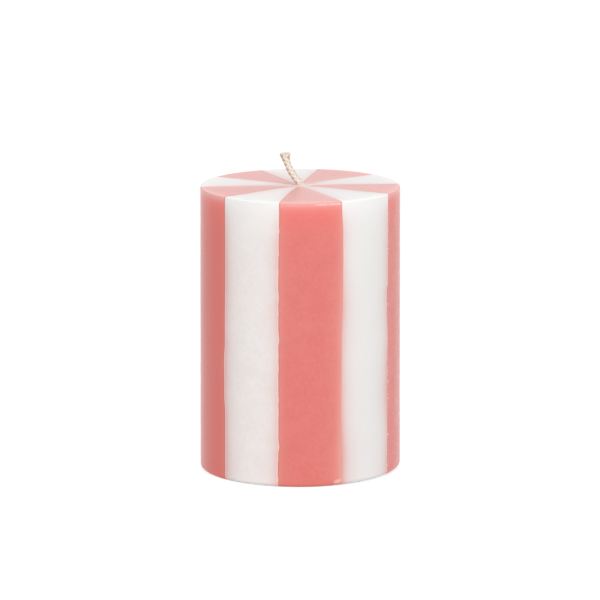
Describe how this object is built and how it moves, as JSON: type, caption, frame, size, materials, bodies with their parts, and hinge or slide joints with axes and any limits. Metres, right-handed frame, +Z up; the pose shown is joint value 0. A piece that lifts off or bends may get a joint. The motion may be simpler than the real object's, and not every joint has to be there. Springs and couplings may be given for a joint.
{
  "type": "pillar candle",
  "caption": "Round pillar candle of coral and white wax wedges that meet in a pinwheel on the flat top, with a short bent cotton wick.",
  "frame": {"origin": "centre of the base, on the surface that the candle stands on", "axes": "+Z up along the wick; -Y through the middle of the front coral wedge; the wick's stub leans towards -X"},
  "size_m": [0.07, 0.07, 0.1116],
  "materials": {
    "coral_wax": "dyed paraffin wax, satin, as it left the mould",
    "white_wax": "undyed white paraffin wax, satin, as it left the mould",
    "bore_wax": "pale wax poured round the wick",
    "waxed_cotton": "braided cotton, stiff with wax",
    "tinplate": "bright pressed tinplate"
  },
  "bodies": {
    "root": {"coral_wedge_1": "coral_wax", "coral_wedge_2": "coral_wax", "coral_wedge_3": "coral_wax", "coral_wedge_4": "coral_wax", "coral_wedge_5": "coral_wax", "white_wedge_1": "white_wax", "white_wedge_2": "white_wax", "white_wedge_3": "white_wax", "white_wedge_4": "white_wax", "white_wedge_5": "white_wax", "bore_wax": "bore_wax", "wick": "waxed_cotton", "wick_sustainer": "tinplate"}
  },
  "joints": []
}
